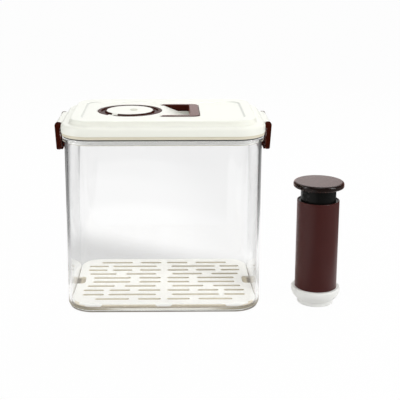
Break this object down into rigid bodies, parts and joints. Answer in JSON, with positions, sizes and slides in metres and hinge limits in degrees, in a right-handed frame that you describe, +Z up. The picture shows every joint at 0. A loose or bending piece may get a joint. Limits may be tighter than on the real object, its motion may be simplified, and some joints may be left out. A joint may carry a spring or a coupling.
{
  "type": "vacuum seal canister",
  "caption": "Clear rectangular food canister with a latched vacuum lid, date dial, folding carry handle, slotted drain tray and a separate hand pump.",
  "frame": {"origin": "middle of the canister's flat base", "axes": "+Z up, front towards -Y, +X to the right with the hand pump on that side"},
  "size_m": [0.3166, 0.156, 0.2123],
  "materials": {
    "clear_plastic": "clear, polished",
    "cream_plastic": "satin",
    "tray_plastic": "fine matt",
    "beige_plastic": "satin",
    "brown_plastic": "gloss",
    "pump_brown": "soft touch",
    "knob_brown": "satin",
    "black_plastic": "satin",
    "white_silicone": "matt",
    "seal_silicone": "matt",
    "grey_silicone": "matt",
    "valve_silicone": "matt",
    "inner_plastic": "moulded",
    "steel": "ground"
  },
  "bodies": {
    "canister": {"canister_tub": "clear_plastic"},
    "tray": {"drain_tray": "tray_plastic"},
    "lid": {"lid_cover": "cream_plastic", "lid_liner": "beige_plastic", "lid_gasket": "seal_silicone", "valve_plate": "cream_plastic", "valve_port_seal": "grey_silicone", "handle_pins": "steel", "left_latch_pin": "steel", "right_latch_pin": "steel"},
    "dial": {"dial_ring": "brown_plastic", "dial_pointer": "cream_plastic"},
    "valve": {"check_valve": "valve_silicone"},
    "handle": {"carry_handle": "brown_plastic"},
    "left_latch": {"left_latch": "brown_plastic"},
    "right_latch": {"right_latch": "brown_plastic"},
    "pump": {"pump_barrel": "pump_brown", "pump_foot": "white_silicone", "pump_seat": "inner_plastic", "pump_intake_valve": "grey_silicone", "pump_collar": "black_plastic"},
    "plunger": {"plunger_tube": "black_plastic", "plunger_knob": "knob_brown", "piston_head": "inner_plastic", "piston_ring": "grey_silicone", "piston_screw": "steel"}
  },
  "joints": [
    {"name": "tray_lift", "type": "slide", "parent": "canister", "child": "tray", "axis": [0, 0, 1], "range_m": [0, 0.17]},
    {"name": "lid_lift", "type": "slide", "parent": "canister", "child": "lid", "axis": [0, 0, 1], "range_m": [0, 0.15]},
    {"name": "left_latch_swing", "type": "hinge", "parent": "lid", "child": "left_latch", "pos_m": [-0.1146, 0, 0.20055], "axis": [0, 1, 0], "range_deg": [0, 110]},
    {"name": "right_latch_swing", "type": "hinge", "parent": "lid", "child": "right_latch", "pos_m": [0.1146, 0, 0.20055], "axis": [0, -1, 0], "range_deg": [0, 110]},
    {"name": "handle_fold", "type": "hinge", "parent": "lid", "child": "handle", "pos_m": [0.0005, 0, 0.208], "axis": [0, -1, 0], "range_deg": [0, 95]},
    {"name": "dial_turn", "type": "hinge", "parent": "lid", "child": "dial", "pos_m": [-0.0376, 0, 0.2115], "axis": [0, 0, 1], "continuous": true},
    {"name": "valve_open", "type": "slide", "parent": "lid", "child": "valve", "axis": [0, 0, 1], "range_m": [0, 0.002]},
    {"name": "pump_lift", "type": "slide", "parent": "canister", "child": "pump", "axis": [0, 0, 1], "range_m": [0, 0.15]},
    {"name": "plunger_stroke", "type": "slide", "parent": "pump", "child": "plunger", "axis": [0, 0, 1], "range_m": [-0.014, 0.0625]}
  ]
}
